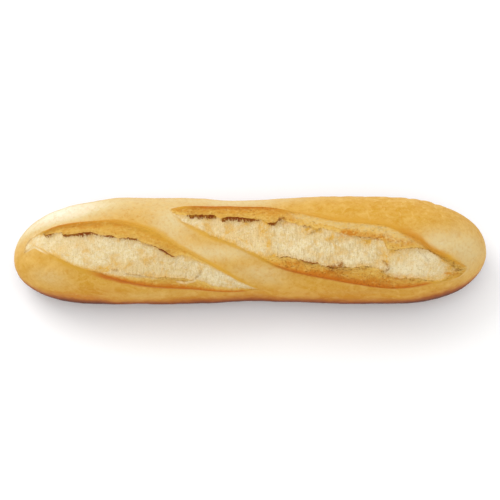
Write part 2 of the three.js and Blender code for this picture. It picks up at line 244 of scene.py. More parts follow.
# rim is how strong a painted highlight along a slash's cut edge is.
TRAITS = ("fold", "tear", "lap", "crease", "toast", "bleach", "above", "under", "rim")


def lattice(i, j, k):
    """A repeatable number from 0 to 1 for each cell."""
    i, j, k = (axis.astype(np.int64).astype(np.uint64) & WORD for axis in (i, j, k))
    h = ((i * HASH[0]) ^ (j * HASH[1]) ^ (k * HASH[2])) & WORD
    h = ((h ^ (h >> 13)) * HASH[2]) & WORD
    return (h ^ (h >> 16)).astype(float) / WORD


def noise(x, y, z):
    """Repeatable smooth noise from -1 to 1, with lumps about one unit across."""
    x, y, z = np.broadcast_arrays(x, y, z)
    i, j, k = np.floor(x), np.floor(y), np.floor(z)
    u, v, w = ramp(0, 1, x - i), ramp(0, 1, y - j), ramp(0, 1, z - k)

    def edge(b, c):
        return mix(lattice(i, j + b, k + c), lattice(i + 1, j + b, k + c), u)

    return 2 * mix(mix(edge(0, 0), edge(1, 0), v), mix(edge(0, 1), edge(1, 1), v), w) - 1


def slash_at(slash, x):
    """The slash at each x: its line and half width in degrees, its depth from 0 to 1, its sides in mm.

    Of each side, edge is the girth angle of the cut, and lip is how wide the skin inside it is. Lap is how
    high the crumb meets the lip, above and under are how far its crease reaches out and in, and the other
    traits run from 0 to about 1.
    """
    start, end = slash["ends"]
    inside = np.clip(x, start, end)
    sides = [slash["back"], slash["front"]]
    back, front = (curve(side["edge"])(inside) for side in sides)
    line = (back + front) / 2
    line = np.where(x < start, mix(slash["lead"][0], line, ramp(-LENGTH / 2, start, x)), line)
    line = np.where(x > end, mix(line, slash["lead"][1], ramp(end, end + LEAD_OUT, x)), line)
    half = np.where(x == inside, (front - back) / 2, 0)
    half_width = half * MM_PER_DEGREE
    spread = (half ** SPREAD_ROUNDING + LEAST_SPREAD ** SPREAD_ROUNDING) ** (1 / SPREAD_ROUNDING)
    lips = []
    for side in sides:
        jag = JAG["height"] * noise(x / JAG["size"], side["seed"], 0)
        jag = jag + side["serration"] * noise(x / JAG["fine_size"], side["seed"], 0.5)
        lips.append(np.maximum(curve(side["lip"])(x) + jag, LEAST_LIP))
    most = mix(LIPS_ROOM["open"], LIPS_ROOM["closed"], ramp(*CLOSING, x))
    room = np.minimum(1, most * 2 * half_width / (lips[0] + lips[1]))
    lips = [np.maximum(lip * room, NARROWEST) for lip in lips]
    share = spread / np.maximum(half_width, TINY)
    return {
        "line": line,
        "half": half,
        "spread": spread,
        "depth": ramp(0, FULL_DEPTH_HALF_WIDTH, half_width),
        "lips": lips,
        "middle": curve(slash["middle"])(x),
        "strands": curve(slash["strands"])(x),
        "porous": [side["porous"] for side in sides],
        **{trait: [curve(side[trait])(x) for side in sides] for trait in TRAITS},
        "lip_spreads": [np.where(half > 0, share * lip, spread * CLOSED_LIP) for lip in lips],
    }


# ------------------------------------------------------------------ the skin before it is torn
# The dough's own skin, smooth and closed all round, laid out as a grid: stations along the loaf, drawn
# together at its ends, and columns round the girth, drawn together along the slashes' edges and cracks.
END_LENGTH = 40
END_STATIONS = 70
MIDDLE_STATIONS = 346
BACK_COLUMNS = 34
BRIDGE_COLUMNS = 16
FRONT_COLUMNS = 26
LIP_COLUMNS = 13
CRUMB_COLUMNS = 36
LIP_CROWDING = 0.5
CRUMB_CROWDING = 0.7
BELOW = (-90, 270)  # the girth angles at which the skin starts and ends, both under the loaf


def stations():
    shoulder = LENGTH / 2 - END_LENGTH
    turn = np.arange(1, END_STATIONS) / END_STATIONS * (math.pi / 2)
    ends = shoulder + END_LENGTH * np.cos(turn)
    middle = np.linspace(-shoulder, shoulder, MIDDLE_STATIONS + 1)
    return np.concatenate([-ends, middle, ends[::-1]])[:, None]


def even(count):
    return np.arange(count) / count


def crowded(count, crowding, shift=0):
    """Shares of a stretch, drawn together at both of its ends."""
    share = (np.arange(count) + shift) / count
    return mix(share, (1 - np.cos(math.pi * share)) / 2, crowding)


def columns(found):
    guides = [np.full_like(found[0]["line"], BELOW[0])]
    for at in found:
        guides.append(at["line"] - at["spread"])
        guides.append(at["line"] - at["spread"] + at["lip_spreads"][0])
        guides.append(at["line"] + at["spread"] - at["lip_spreads"][1])
        guides.append(at["line"] + at["spread"])
    guides.append(np.full_like(found[0]["line"], BELOW[1]))
    lip_steps = crowded(LIP_COLUMNS, LIP_CROWDING)
    slash_steps = [lip_steps, crowded(CRUMB_COLUMNS, CRUMB_CROWDING, 0.5), lip_steps]
    steps = [even(BACK_COLUMNS), *slash_steps, even(BRIDGE_COLUMNS), *slash_steps, even(FRONT_COLUMNS)]
    return np.concatenate([mix(guides[i], guides[i + 1], step) for i, step in enumerate(steps)], 1)


x = stations()
found = [slash_at(slash, x) for slash in SLASHES]
angle = columns(found)
girth_mm = angle * MM_PER_DEGREE
form = form_point(x, angle)

# ------------------------------------------------------------------ lips, cracks and crumb
# Beside each slash the crust swells into a shoulder. Inside it the lips, which are dry crinkled skin, dip
# behind a groove, a crack gapes along their torn edge, and the crumb, spongy white dough full of pits,
# domes up between the cracks with strands drawn out along it.
DENTS = [(34, 0.7), (13, 0.3)]  # size and height of the crust's lumps
SHOULDER = {"place": 3.5, "reach": 4.5, "height": 0.8}  # its place is counted outwards from the cut
GROOVE = {"place": 1.1, "depth": 1.5}  # and this one's inwards
LIP = {"sunk": 0.8, "rise": 0.5, "unfolded": 0.4, "rough": 0.3, "pits": 0.6, "smooth": (0.4, 2.2)}
CRINKLES = {"height": 0.3, "length": 11, "width": 1.7, "seed": 41.5}
CRACK = {"width": 1.1, "least": 0.4, "depth": 2.2, "overhang": 0.6}  # least is a share of its width
CRACK_RAGGEDNESS = {"share": 0.4, "size": 1.3, "seed": 5.5}
CRUMB = {"lumps": 0.6, "lump_size": 7, "seed": 3.5, "strands": 0.3, "pits": 0.35, "rough": 0.3}
TORN_SIZE = 2.4  # how large the lumps of torn dough are
STRANDS = {"size": 0.8, "stretch": 9, "seed": 7.5, "thinnest": 0.35}
CLUMPS = {"length": 14, "width": 8, "seed": 21.5, "between": (-0.2, 0.6)}  # where strands lie thick
PITS = {"spacing": 2.3, "floor": 0.15, "rim": 0.8, "skipped": 0.62}
LAYER_SHIFT = 17.3  # moves each finer layer of noise away from the one before
CELL_REACH = 9.0  # farther than any neighbouring cell's point
CELL_SHIFTS = (71, 93, 57)  # give each cell three more numbers of its own
FAR_OUTSIDE = 40  # a distance outside both slashes, before either is looked at


def layered(points, size, layers=3):
    """Noise whose lumps are about as large as size, with finer lumps on them."""
    total = 0
    for layer in range(layers):
        scaled = points / size * 2 ** layer + LAYER_SHIFT * layer
        total = total + noise(*np.moveaxis(scaled, -1, 0)) / 2 ** layer
    return total


def cells(points, size):
    """Distance to the nearest of scattered points about one size apart, and that point's own number."""
    scaled = points / size
    home = np.floor(scaled)
    nearest = np.full(points.shape[:-1], CELL_REACH)
    number = np.zeros(points.shape[:-1])
    for shift in np.ndindex(3, 3, 3):
        cell = home + np.array(shift) - 1
        i, j, k = np.moveaxis(cell, -1, 0)
        shares = [lattice(i, j, k), lattice(i + CELL_SHIFTS[0], j, k), lattice(i, j + CELL_SHIFTS[1], k)]
        centre = cell + np.stack(shares, -1)
        distance = np.linalg.norm(scaled - centre, axis=-1)
        closer = distance < nearest
        nearest = np.where(closer, distance, nearest)
        number = np.where(closer, lattice(i, j, k + CELL_SHIFTS[2]), number)
    return nearest * size, number


def pocks(points, spacing, floor, rim, skipped):
    """1 in small round spots at some of the scattered points, and 0 between them."""
    distance, number = cells(points, spacing)
    return (1 - ramp(floor, rim, distance)) * (number > skipped)


def of_side(pair, front):
    """The front side's value where front is true, and the back side's elsewhere."""
    return np.where(front, pair[1], pair[0])


fields = {name: np.zeros_like(angle) for name in (
    "inner", "rip", "open", "strands", "porous", "fold", "tear", "crease", "reach", "toast", "bleach",
    "rim", "pale", "deep", "amber", "gold", "cream_and_highlight", "nick", "edge_highlight", "rich")}
fields["inner"] -= FAR_OUTSIDE
fields["rip"] -= FAR_OUTSIDE
lift = sum(height_mm * noise(*np.moveaxis(form / size, -1, 0)) for size, height_mm in DENTS)
pull = np.zeros_like(angle)  # how far each point slides round the girth, as lift is how far it stands off
torn = layered(form, TORN_SIZE)
drawn_out = np.stack([x + 0 * angle, girth_mm / STRANDS["stretch"], 0 * angle + STRANDS["seed"]], -1)
clumps = noise(x / CLUMPS["length"], girth_mm / CLUMPS["width"], CLUMPS["seed"])
clumps = ramp(*CLUMPS["between"], clumps)
strands = layered(drawn_out, STRANDS["size"], 2) * mix(STRANDS["thinnest"], 1, clumps)
pits = pocks(form, **PITS)
for at in found:
    from_back = (angle - at["line"] + at["half"]) * MM_PER_DEGREE
    from_front = (at["line"] + at["half"] - angle) * MM_PER_DEGREE
    inward = [from_back, from_front]
    inner = np.minimum(from_back, from_front)
    beyond = inner < 0
    swell = bump(SHOULDER["place"], SHOULDER["reach"], -inner) * ramp(0, SHOULDER["place"], -inner)
    lift += np.where(beyond, at["depth"] * SHOULDER["height"] * swell, 0)

    across = [inward[side] - at["lips"][side] for side in (0, 1)]
    on_lip = [~beyond & (across[0] <= 0), ~beyond & (across[1] <= 0) & (across[0] > 0)]
    for side, towards in ((0, 1), (1, -1)):
        lip, distance = at["lips"][side], inward[side]
        groove = GROOVE["depth"] * bump(GROOVE["place"], GROOVE["place"], distance) * at["fold"][side]
        fall = LIP["rise"] * ramp(0, lip, distance) - LIP["sunk"] * ramp(0, GROOVE["place"], distance)
        fall = fall * mix(LIP["unfolded"], 1, at["fold"][side])
        crinkle = noise(x / CRINKLES["length"], distance / CRINKLES["width"], CRINKLES["seed"] + side)
        rough = LIP["rough"] * torn - LIP["pits"] * pits
        skin_relief = CRINKLES["height"] * crinkle + rough * at["porous"][side]
        skin_relief = skin_relief * ramp(*LIP["smooth"], distance)
        lift += np.where(on_lip[side], at["depth"] * (fall - groove + skin_relief), 0)
        slide = CRACK["overhang"] * at["tear"][side] * ramp(0, lip, distance) * towards
        pull += np.where(on_lip[side], at["depth"] * slide, 0)

    in_crumb = ~beyond & (across[0] > 0) & (across[1] > 0)
    share = across[0] / np.maximum(across[0] + across[1], TINY)
    dome = np.clip(4 * share * (1 - share), 0, 1)
    lumps = noise(x / CRUMB["lump_size"], girth_mm / CRUMB["lump_size"], CRUMB["seed"])
    crumb = mix(mix(*at["lap"], np.clip(share, 0, 1)), at["middle"], np.sqrt(dome))
    crumb = crumb + CRUMB["lumps"] * dome * lumps
    crumb = crumb + CRUMB["strands"] * strands * at["strands"]
    crumb = crumb - CRUMB["pits"] * pits + CRUMB["rough"] * torn
    for side in (0, 1):
        ragged = noise(x / CRACK_RAGGEDNESS["size"], at["line"] * 0, CRACK_RAGGEDNESS["seed"] + side)
        gap = CRACK["width"] * mix(CRACK["least"], 1, at["tear"][side])
        gap = gap * (1 + CRACK_RAGGEDNESS["share"] * ragged)
        crumb = crumb - CRACK["depth"] * at["tear"][side] * (1 - ramp(gap / 3, gap, across[side]))
    lift += np.where(in_crumb, at["depth"] * crumb, 0)

    nearer = inner > fields["inner"]
    front_edge = from_front < from_back
    front_lip = np.where(beyond, front_edge, across[1] < across[0])
    values = {
        "inner": inner,
        "rip": np.minimum(across[0], across[1]),
        "open": at["depth"] + 0 * inner,
        "strands": at["strands"] + 0 * inner,
        "reach": np.where(beyond, of_side(at["above"], front_edge), of_side(at["under"], front_edge)),
    }
    for trait in ("porous", "fold", "tear", "toast", "bleach"):
        values[trait] = of_side(at[trait], front_lip)
    for trait in ("crease", "rim"):
        values[trait] = at["depth"] * of_side(at[trait], front_edge)
    for name, value in values.items():
        fields[name] = np.where(nearer, value, fields[name])

# ------------------------------------------------------------------ nicks and ridges
# Small tears, holes and scraps that stand alone on the crumb and at the tips of the slashes, painted dark
# with the shade in them, and thin ridges along the lips: amber ones that caught the heat, and pale ones
# that are a painted highlight along torn edges. Each follows a path of (x, girth angle).
NICKS = [
    {"path": [(-71, 131), (-57, 135), (-45, 139.5), (-35, 143), (-32, 140.5), (-29.5, 135.5), (-28, 130)],
     "half_width": 0.45, "depth": 0.7, "torn_brown_and_shade": 0.55},
    {"path": [(-78.5, 127), (-76.5, 127.6)], "half_width": 0.6, "depth": 0.6, "torn_brown_and_shade": 0.7},
    {"path": [(-61.5, 98), (-59, 100), (-56.5, 101)], "half_width": 0.6, "depth": 0.6, "torn_brown_and_shade": 0.6},
    {"path": [(33, 91.4), (36, 89), (39.5, 87)], "half_width": 0.5, "depth": 0.7, "torn_brown_and_shade": 0.6},
    {"path": [(31, 83.4), (32, 83.6)], "half_width": 0.6, "depth": 0.8, "torn_brown_and_shade": 0.8},
    {"path": [(34, 84), (35, 84.2)], "half_width": 0.6, "depth": 0.8, "torn_brown_and_shade": 0.8},
    {"path": [(17, 73.6), (19.3, 73.8)], "half_width": 0.7, "depth": 0.9, "torn_brown_and_shade": 1},
    {"path": [(76, 118.6), (78.4, 121.7), (79.3, 125), (77.4, 129), (75, 130)],
     "half_width": 0.6, "depth": 1, "torn_brown_and_shade": 0.8},
    {"path": [(78.6, 123.4), (79.2, 126.4)], "half_width": 0.8, "depth": 1, "torn_brown_and_shade": 0.7},
    {"path": [(46.5, 126.5), (49, 125), (51.5, 122.5)], "half_width": 2, "depth": 1.8, "torn_brown_and_shade": 0.9},
    {"path": [(51.7, 128), (57.4, 127.9), (64.2, 126.9), (68.8, 124.4)],
     "half_width": 0.5, "depth": 0.8, "torn_brown_and_shade": 0.7},
    {"path": [(95.5, 107.6), (99, 111.7), (102, 118.3)], "half_width": 0.4, "depth": 0.5, "torn_brown_and_shade": 0.3},
    {"path": [(116, 122), (116.7, 126)], "half_width": 0.6, "depth": 0.8, "torn_brown_and_shade": 0.75},
    {"path": [(119.8, 130), (121.2, 134.5)], "half_width": 0.6, "depth": 0.8, "torn_brown_and_shade": 0.75},
    {"path": [(-130.6, 97), (-130.4, 91), (-129.6, 85), (-127, 77.5)],
     "half_width": 0.5, "depth": 0.4, "torn_brown_and_shade": 0.3},
    {"path": [(-123.8, 75.4), (-118.5, 76.5)], "half_width": 0.45, "depth": 0.4, "torn_brown_and_shade": 0.3},
]
# Amber ridges are browning; the edging ridges are a painted highlight along torn edges.
RIDGES = [
    {"tint": "amber", "half_width": 1, "share": 0.6,
     "path": [(53, 90.5), (61, 92), (68, 93), (76, 95), (84, 97.4), (92, 99.4)]},
    {"tint": "amber", "half_width": 0.8, "share": 0.8, "path": [(113, 138), (119.5, 140)]},
    {"tint": "amber", "half_width": 1.1, "share": 0.75,
     "path": [(-66, 145), (-45, 151), (-20, 157), (0, 161)]},
    {"tint": "amber", "half_width": 0.8, "share": 0.7, "path": [(50, 139), (66, 142), (80, 142.5)]},
    {"tint": "edge_highlight", "half_width": 0.6, "share": 0.5,
     "path": [(-42, 143.4), (-38, 145), (-33, 143.6), (-30.5, 140)]},
    {"tint": "edge_highlight", "half_width": 0.5, "share": 0.35, "path": [(-62, 133.8), (-54, 137.4)]},
]
WANDER = {"reach": 0.35, "size": 1.4, "seed": 63.5}  # how far a path strays from its points
FAR_AWAY = 99.0  # farther than any path can be


def path_distance(path):
    """Distance in millimetres from each point of the skin to a path drawn on it."""
    nearest = np.full_like(angle, FAR_AWAY)
    for (x0, turn0), (x1, turn1) in zip(path, path[1:]):
        along, turned = x1 - x0, (turn1 - turn0) * MM_PER_DEGREE
        from_start = (angle - turn0) * MM_PER_DEGREE
        share = ((x - x0) * along + from_start * turned) / (along ** 2 + turned ** 2)
        share = np.clip(share, 0, 1)
        nearest = np.minimum(nearest, np.hypot(x - x0 - share * along, from_start - share * turned))
    return nearest


wander = WANDER["reach"] * noise(x / WANDER["size"], girth_mm / WANDER["size"], WANDER["seed"])


def closeness(drawn, sharp, soft, ragged):
    """1 along a drawn path, falling to 0 from sharp to soft, both counted in its half widths."""
    return 1 - ramp(sharp, soft, (path_distance(drawn["path"]) + ragged * wander) / drawn["half_width"])


# Each nick is dented and painted dark, the shade in its small hole.
for nick in NICKS:
    near = closeness(nick, sharp=0.5, soft=1.5, ragged=1)
    lift -= nick["depth"] * near
    fields["nick"] = np.maximum(fields["nick"], nick["torn_brown_and_shade"] * near)
for ridge in RIDGES:
    near = closeness(ridge, sharp=0.2, soft=2, ragged=2)
    fields[ridge["tint"]] = np.maximum(fields[ridge["tint"]], ridge["share"] * near)

# ------------------------------------------------------------------ where the loaf browned
# The oven's heat reached the loaf unevenly: deeper down the front, amber and gold on the lips and the
# crumb, and brown up to a wavy line above the tray, darkened further there by painted shade at the foot.
# The pale patches are floury crust with a painted highlight where the light falls on the shoulders, and the
# cream patches on the crumb carry a painted highlight where it domes up.
# Each patch is x, girth angle, how far it reaches along and round, and its share.
# The pale patches: floury crust with a painted highlight, strongest at the back of the left end.
PALE_AND_HIGHLIGHT_PATCHES = [(-112, 48, 26, 22, 1.7), (-75, 45, 30, 25, 0.55), (-130, 80, 12, 30, 0.3),
                (-116, 138, 12, 16, 0.45), (12, 145, 12, 8, 0.3), (-44, 76, 14, 24, 0.85),
                (-20, 108, 30, 10, 0.8), (4, 132, 16, 10, 0.6), (-10, 38, 40, 14, 0.9),
                (108, 98, 12, 13, 0.85), (126, 110, 12, 40, 0.75), (-58, 163, 22, 5, 0.2),
                (64, 160, 50, 3, 0.1), (-34, 168, 30, 3, 0.06)]
DEEP_PATCHES = [(-85, 158, 14, 6, 1), (-100, 168, 16, 6, 0.8), (-40, 176, 40, 9, 0.8),
                (50, 166, 60, 16, 0.8), (84, 58, 38, 20, 0.15), (40, 176, 50, 8, 0.5),
                (-95, 150, 20, 8, 0.3)]
AMBER_PATCHES = [(42, 131.5, 13, 4, 1.3), (37, 135, 12, 4, 0.5), (25, 121, 8, 3.5, 1), (57, 90, 5, 3, 0.7),
                 (76, 94, 4, 3, 0.7), (80, 139, 14, 4, 0.9), (-104, 168, 12, 4, 0.9), (-95, 172, 16, 4, 1),
                 (-12, 159.5, 16, 2, 0.9), (22, 76, 6, 6, 0.4)]
GOLD_PATCHES = [(7, 84, 3.5, 9, 1), (-2, 78, 3, 4, 0.8), (10.5, 100, 2.5, 12, 0.8), (13, 112, 4, 4, 0.8),
                (81, 104, 2.5, 7, 1), (77.5, 115, 2.5, 8, 1), (73, 120, 2.5, 4, 0.9), (74, 132, 3, 6, 0.9),
                (112, 118, 3, 5, 1), (114.5, 132, 3, 10, 1), (104, 126, 4, 6, 0.4), (86, 112, 6, 8, 0.5),
                (50, 95, 9, 3, 0.9), (66, 99, 4, 5, 0.9), (-108, 100, 6, 8, 0.5), (-97, 95, 4, 5, 0.6),
                (-94, 102, 3, 4, 0.5), (-86, 126, 12, 4, 0.7), (-72, 122, 8, 5, 0.4), (-56, 114, 6, 6, 0.5),
                (-47, 110, 4, 5, 0.6), (34, 88, 8, 4, 0.9), (-24, 74, 3, 6, 0.5), (46, 118, 3, 5, 0.4),
                (107, 140, 8, 3, 0.6), (90, 141, 8, 2.5, 0.6), (-8, 94, 14, 9, 0.55),
                (-18, 80, 12, 8, 0.3), (-52, 128, 22, 9, 0.35)]
# Cream patches on the crumb, partly a painted highlight where it domes up.
CREAM_AND_HIGHLIGHT_PATCHES = [(89, 127, 7, 6, 0.8), (102, 114, 6, 6, 1), (75, 124, 2, 3.5, 1), (-123, 88, 6, 8, 0.35),
                 (28, 108, 8, 9, 0.5), (56, 118, 8, 7, 0.5), (-86, 92, 16, 12, 0.4),
                 (-14, 136, 9, 6, 0.8), (97, 126, 9, 8, 0.5)]
TINTS = {"pale": PALE_AND_HIGHLIGHT_PATCHES, "deep": DEEP_PATCHES, "amber": AMBER_PATCHES, "gold": GOLD_PATCHES,
         "cream_and_highlight": CREAM_AND_HIGHLIGHT_PATCHES}
# How high the browned band round the foot, with its painted shade, reaches along the loaf.
ROAST_AND_SHADE_RISE = [(-140, 0), (-118, 3), (-108, 5), (-90, 5), (-76, 2), (0, 3), (60, 3), (80, 4), (112, 7),
              (135, 1)]


def patch(centre, turn, along_reach, turn_reach):
    return bump(centre, along_reach, x) * bump(turn, turn_reach, angle)


for name, patches in TINTS.items():
    for *outline, share in patches:
        fields[name] += share * patch(*outline)
fields["roast"] = curve(ROAST_AND_SHADE_RISE)(x) + 0 * angle

# ------------------------------------------------------------------ blisters and knobs
# Gas under the skin raises fine grain and small blisters, most of them on the back of the right half, and
# hard little knobs, low on the back and beside the slashes' ends. Each knob is a patch and its height.
CRUST_GRAIN = {"size": 3.5, "height": 0.10}
BLISTERS = {"spacing": 4.5, "floor": 0.3, "rim": 1.3, "skipped": 0.72}
BLISTER_HEIGHT = {"least": 0.1, "more": 0.35}
BLISTER_TONE = {"least": 0.3, "more": 0.7, "knob": 0.5}
RICH_PATCH = (95, 45, 45, 40)  # where they are thickest
CRUST_FADE = (-0.5, 0.5)  # across the cut, where the crust gives way to the lip
KNOBS = [(53.5, 14, 2.2, 12, 0.5), (68, 14, 1.6, 12, 0.6), (84, 16, 2.5, 12, 0.6), (94, 16, 1.5, 12, 0.9),
         (101, 16, 1.4, 10, 0.6), (109.5, 17, 1.7, 12, 1.1), (110.6, 56, 1.2, 2.3, 0.4),
         (112.7, 74, 1, 2, 0.3), (105.2, 46, 1, 2, 0.3), (117.7, 57, 1.2, 2.3, 0.4),
         (-100, 150, 1.5, 3, 0.3)]
blisters = pocks(form, **BLISTERS)
crust_share = 1 - ramp(*CRUST_FADE, fields["inner"])
fields["rich"] = patch(*RICH_PATCH)
grain = CRUST_GRAIN["height"] * layered(form, CRUST_GRAIN["size"])
blister_height = BLISTER_HEIGHT["least"] + BLISTER_HEIGHT["more"] * fields["rich"]
lift += crust_share * (grain + blister_height * blisters)
blister_tone = BLISTER_TONE["least"] + BLISTER_TONE["more"] * fields["rich"]
fields["blister"] = crust_share * blisters * blister_tone
for *outline, height_mm in KNOBS:
    knob = patch(*outline)
    lift += height_mm * knob
    fields["blister"] += BLISTER_TONE["knob"] * knob

# ------------------------------------------------------------------ the whole skin as one mesh
# The baked loaf is one closed piece. Each point of the plain form is lifted off it and pulled round the
# girth, the base is set flat on the tray, and the two ends are closed with a fan each.
NUDGE = 0.05  # how far each way the skin's slope is felt
along = form_point(x + NUDGE, angle) - form_point(x - NUDGE, angle)
girth = form_point(x, angle + NUDGE) - form_point(x, angle - NUDGE)
girth /= np.linalg.norm(girth, axis=-1, keepdims=True)
normal = np.cross(along, girth)
normal /= np.linalg.norm(normal, axis=-1, keepdims=True)
skin = form + normal * lift[..., None] + girth * pull[..., None]
skin[..., 2] = np.maximum(skin[..., 2], 0)

rows, count = angle.shape
tips = [np.array([end * LENGTH / 2, float(bend(end * LENGTH / 2)), EQUATOR]) for end in (-1, 1)]
points = np.concatenate([tips[:1], skin.reshape(-1, 3), tips[1:]])
points[:, 1] -= (points[:, 1].min() + points[:, 1].max()) / 2

place = 1 + np.arange(rows)[:, None] * count + np.arange(count)
turned = np.roll(place, -1, 1)
quads = np.stack([place[:-1], turned[:-1], turned[1:], place[1:]], -1).reshape(-1, 4)
fans = [(0, b, a) for a, b in zip(place[0], turned[0])]
fans += [(len(points) - 1, a, b) for a, b in zip(place[-1], turned[-1])]

mesh = bpy.data.meshes.new("baguette_loaf")
mesh.from_pydata((points * MM).tolist(), [], quads.tolist() + fans)
mesh.polygons.foreach_set("use_smooth", np.ones(len(mesh.polygons), bool))
for name, field in fields.items():
    layer = mesh.attributes.new(name, "FLOAT", "POINT")
    layer.data.foreach_set("value", np.pad(field.ravel(), 1, "edge"))
wrap = np.stack([x + 0 * angle, girth_mm, 0 * angle], -1).reshape(-1, 3)
layer = mesh.attributes.new("wrap", "FLOAT_VECTOR", "POINT")
layer.data.foreach_set("vector", np.pad(wrap, ((1, 1), (0, 0)), "edge").ravel())
mesh.validate()
loaf = bpy.data.objects.new("baguette_loaf", mesh)
bpy.context.scene.collection.objects.link(loaf)


class Wire:
    """A shader socket that works in Python expressions: each operation adds its Math node."""

    def __init__(self, tree, socket=None):
        self.tree = tree
        self.socket = socket

    def node(self, kind, settings=None, sockets=None, output=0):
        """Adds a node of a type, with its settings and then its sockets' values or links."""
        made = self.tree.nodes.new("ShaderNode" + kind)
        for name, value in (settings or {}).items():
            setattr(made, name, value)
        for name, value in (sockets or {}).items():
            if isinstance(value, Wire):
                self.tree.links.new(value.socket, made.inputs[name])
            else:
                made.inputs[name].default_value = value
        return Wire(self.tree, made.outputs[output])

    def math(self, operation, *others):
        return self.node("Math", {"operation": operation}, dict(enumerate((self, *others))))

    def __add__(self, other):
        return self.math("ADD", other)

    def __sub__(self, other):
        return self.math("SUBTRACT", other)

    def __mul__(self, other):
        return self.math("MULTIPLY", other)

    def __truediv__(self, other):
        return self.math("DIVIDE", other)

    def __rsub__(self, other):
        return self.node("Math", {"operation": "SUBTRACT"}, {0: other, 1: self})

    __radd__ = __add__
    __rmul__ = __mul__

    def ramp(self, low, high):
        """0 before low, 1 after high."""
        sockets = {"Value": self, "From Min": low, "From Max": high}
        return self.node("MapRange", {"interpolation_type": "SMOOTHSTEP"}, sockets)

    def blend(self, before, after):
        """The colour before where this share is 0, turning into after where it is 1."""
        return self.node("Mix", {"data_type": "RGBA"}, {0: self, 6: before, 7: after}, output=2)


# ------------------------------------------------------------------ the crust
# Dough skin browned by the oven: golden with paler and deeper mottling on top, the paler patches floury and
# lit by a painted highlight, roasted dark round the foot and darkened further there by painted shade, and a
# dull tan where it lay on the tray, dusted with flour. All the loaf's finishes are one material, since it
# is one piece, and they follow the distances that shaped the relief.
def srgb(red, green, blue):
    """A colour given as on a screen, from 0 to 255, as the shader needs it."""
    return tuple((c / 255 / 12.92) if c < 10 else ((c / 255 + 0.055) / 1.055) ** 2.4
                 for c in (red, green, blue)) + (1.0,)


CRUST_GOLD = srgb(198, 147, 40)
CRUST_LIGHT = srgb(224, 186, 106)
CRUST_DEEP = srgb(188, 124, 6)
# Paler crust with a painted highlight on it, and the near white where that painted highlight is strongest.
CRUST_PALE_AND_HIGHLIGHT = srgb(212, 192, 142)
CRUST_FLOUR_AND_HIGHLIGHT = srgb(236, 224, 200)
# Roasted and browned crust, darkened further by painted shade round the foot; the darkest also spots the
# tray side.
BASE_ROAST_AND_SHADE = srgb(162, 82, 0)
BASE_BROWN_AND_SHADE = srgb(86, 32, 0)
TRAY_BROWN = srgb(122, 64, 16)
TRAY_TAN = srgb(156, 98, 36)
TRAY_FLOUR = srgb(178, 134, 76)
# Heights of the darker band round the foot: browning, with painted shade laid over it.
LOW_CRUST_AND_SHADE = (8.0, 24.0)  # heights above the tray between which each tone gives way to the next
ROASTED_AND_SHADED = (12.0, 22.0)
BROWNED_AND_SHADED = (6.0, 17.0)
ON_TRAY = (1.5, 9.0)
NOISE_ROUGHNESS = 0.55

material = bpy.data.materials.new("baked_crust")
material.use_nodes = True
tree = material.node_tree
surface = tree.nodes["Principled BSDF"]
start = Wire(tree)
object_place = start.node("TexCoord", output="Object")
in_mm = start.node("VectorMath", {"operation": "SCALE"}, {0: object_place, "Scale": 1 / MM})
wrapped = start.node("Attribute", {"attribute_name": "wrap"}, output="Vector")
field = {name: start.node("Attribute", {"attribute_name": name}, output="Fac") for name in fields}
above_tray = start.node("SeparateXYZ", {}, {"Vector": in_mm}, output="Z")


def spots(size, detail=3, place=in_mm, stretch=(1, 1, 1), distortion=0.0):
    """Cloudy noise from 0 to 1, with patches about as large as size, in millimetres."""
    spread = tuple(size * s for s in stretch)
    scaled = start.node("VectorMath", {"operation": "DIVIDE"}, {0: place, 1: spread})
    sockets = {"Vector": scaled, "Scale": 1.0, "Detail": detail, "Roughness": NOISE_ROUGHNESS,
               "Distortion": distortion}
    return start.node("TexNoise", {}, sockets)


def mottling(size, low, high, share=1, **cloud):
    """Soft patches of that noise: 0 where it is below low, and the share where it is above high."""
    patches = spots(size, **cloud).ramp(low, high)
    return patches if share == 1 else patches * share


def waver(size, reach, **cloud):
    """The same noise centred on 0 and scaled, to make an edge wander."""
    return (spots(size, **cloud) - 0.5) * reach


mottle = mottling(8, 0.32, 0.68, detail=4, distortion=1.2)
crust = (mottle * 0.25).blend(CRUST_GOLD, CRUST_LIGHT)
crust = (field["deep"] * (0.6 + 0.4 * mottle)).blend(crust, CRUST_DEEP)
# The pale patches: floury crust with a painted highlight on it, near white where the highlight is
# strongest.
pale = field["pale"] * (0.75 + 0.5 * spots(5, detail=4, distortion=1.0))
crust = pale.math("MINIMUM", 1.0).blend(crust, CRUST_PALE_AND_HIGHLIGHT)
crust = (pale - 0.9).blend(crust, CRUST_FLOUR_AND_HIGHLIGHT)
lively = 1 - 0.75 * pale.math("MINIMUM", 1.0)
freckles = mottling(3.2, 0.46, 0.7, detail=4, distortion=0.8) * lively * 0.28
crust = freckles.blend(crust, CRUST_DEEP)
fine_freckles = mottling(1.8, 0.48, 0.72, detail=4, distortion=0.6) * (0.4 + 0.6 * lively) * 0.45
crust = fine_freckles.blend(crust, CRUST_DEEP)
broad = mottling(7, 0.44, 0.62, detail=5, stretch=(1.8, 1, 1), distortion=1.4)
crust = (broad * lively * 0.25).blend(crust, CRUST_LIGHT)
flecks = mottling(2.6, 0.46, 0.76, detail=5, distortion=1.2) * lively * (0.25 + 0.4 * field["rich"])
crust = (flecks + field["blister"] * 0.6).blend(crust, CRUST_LIGHT)

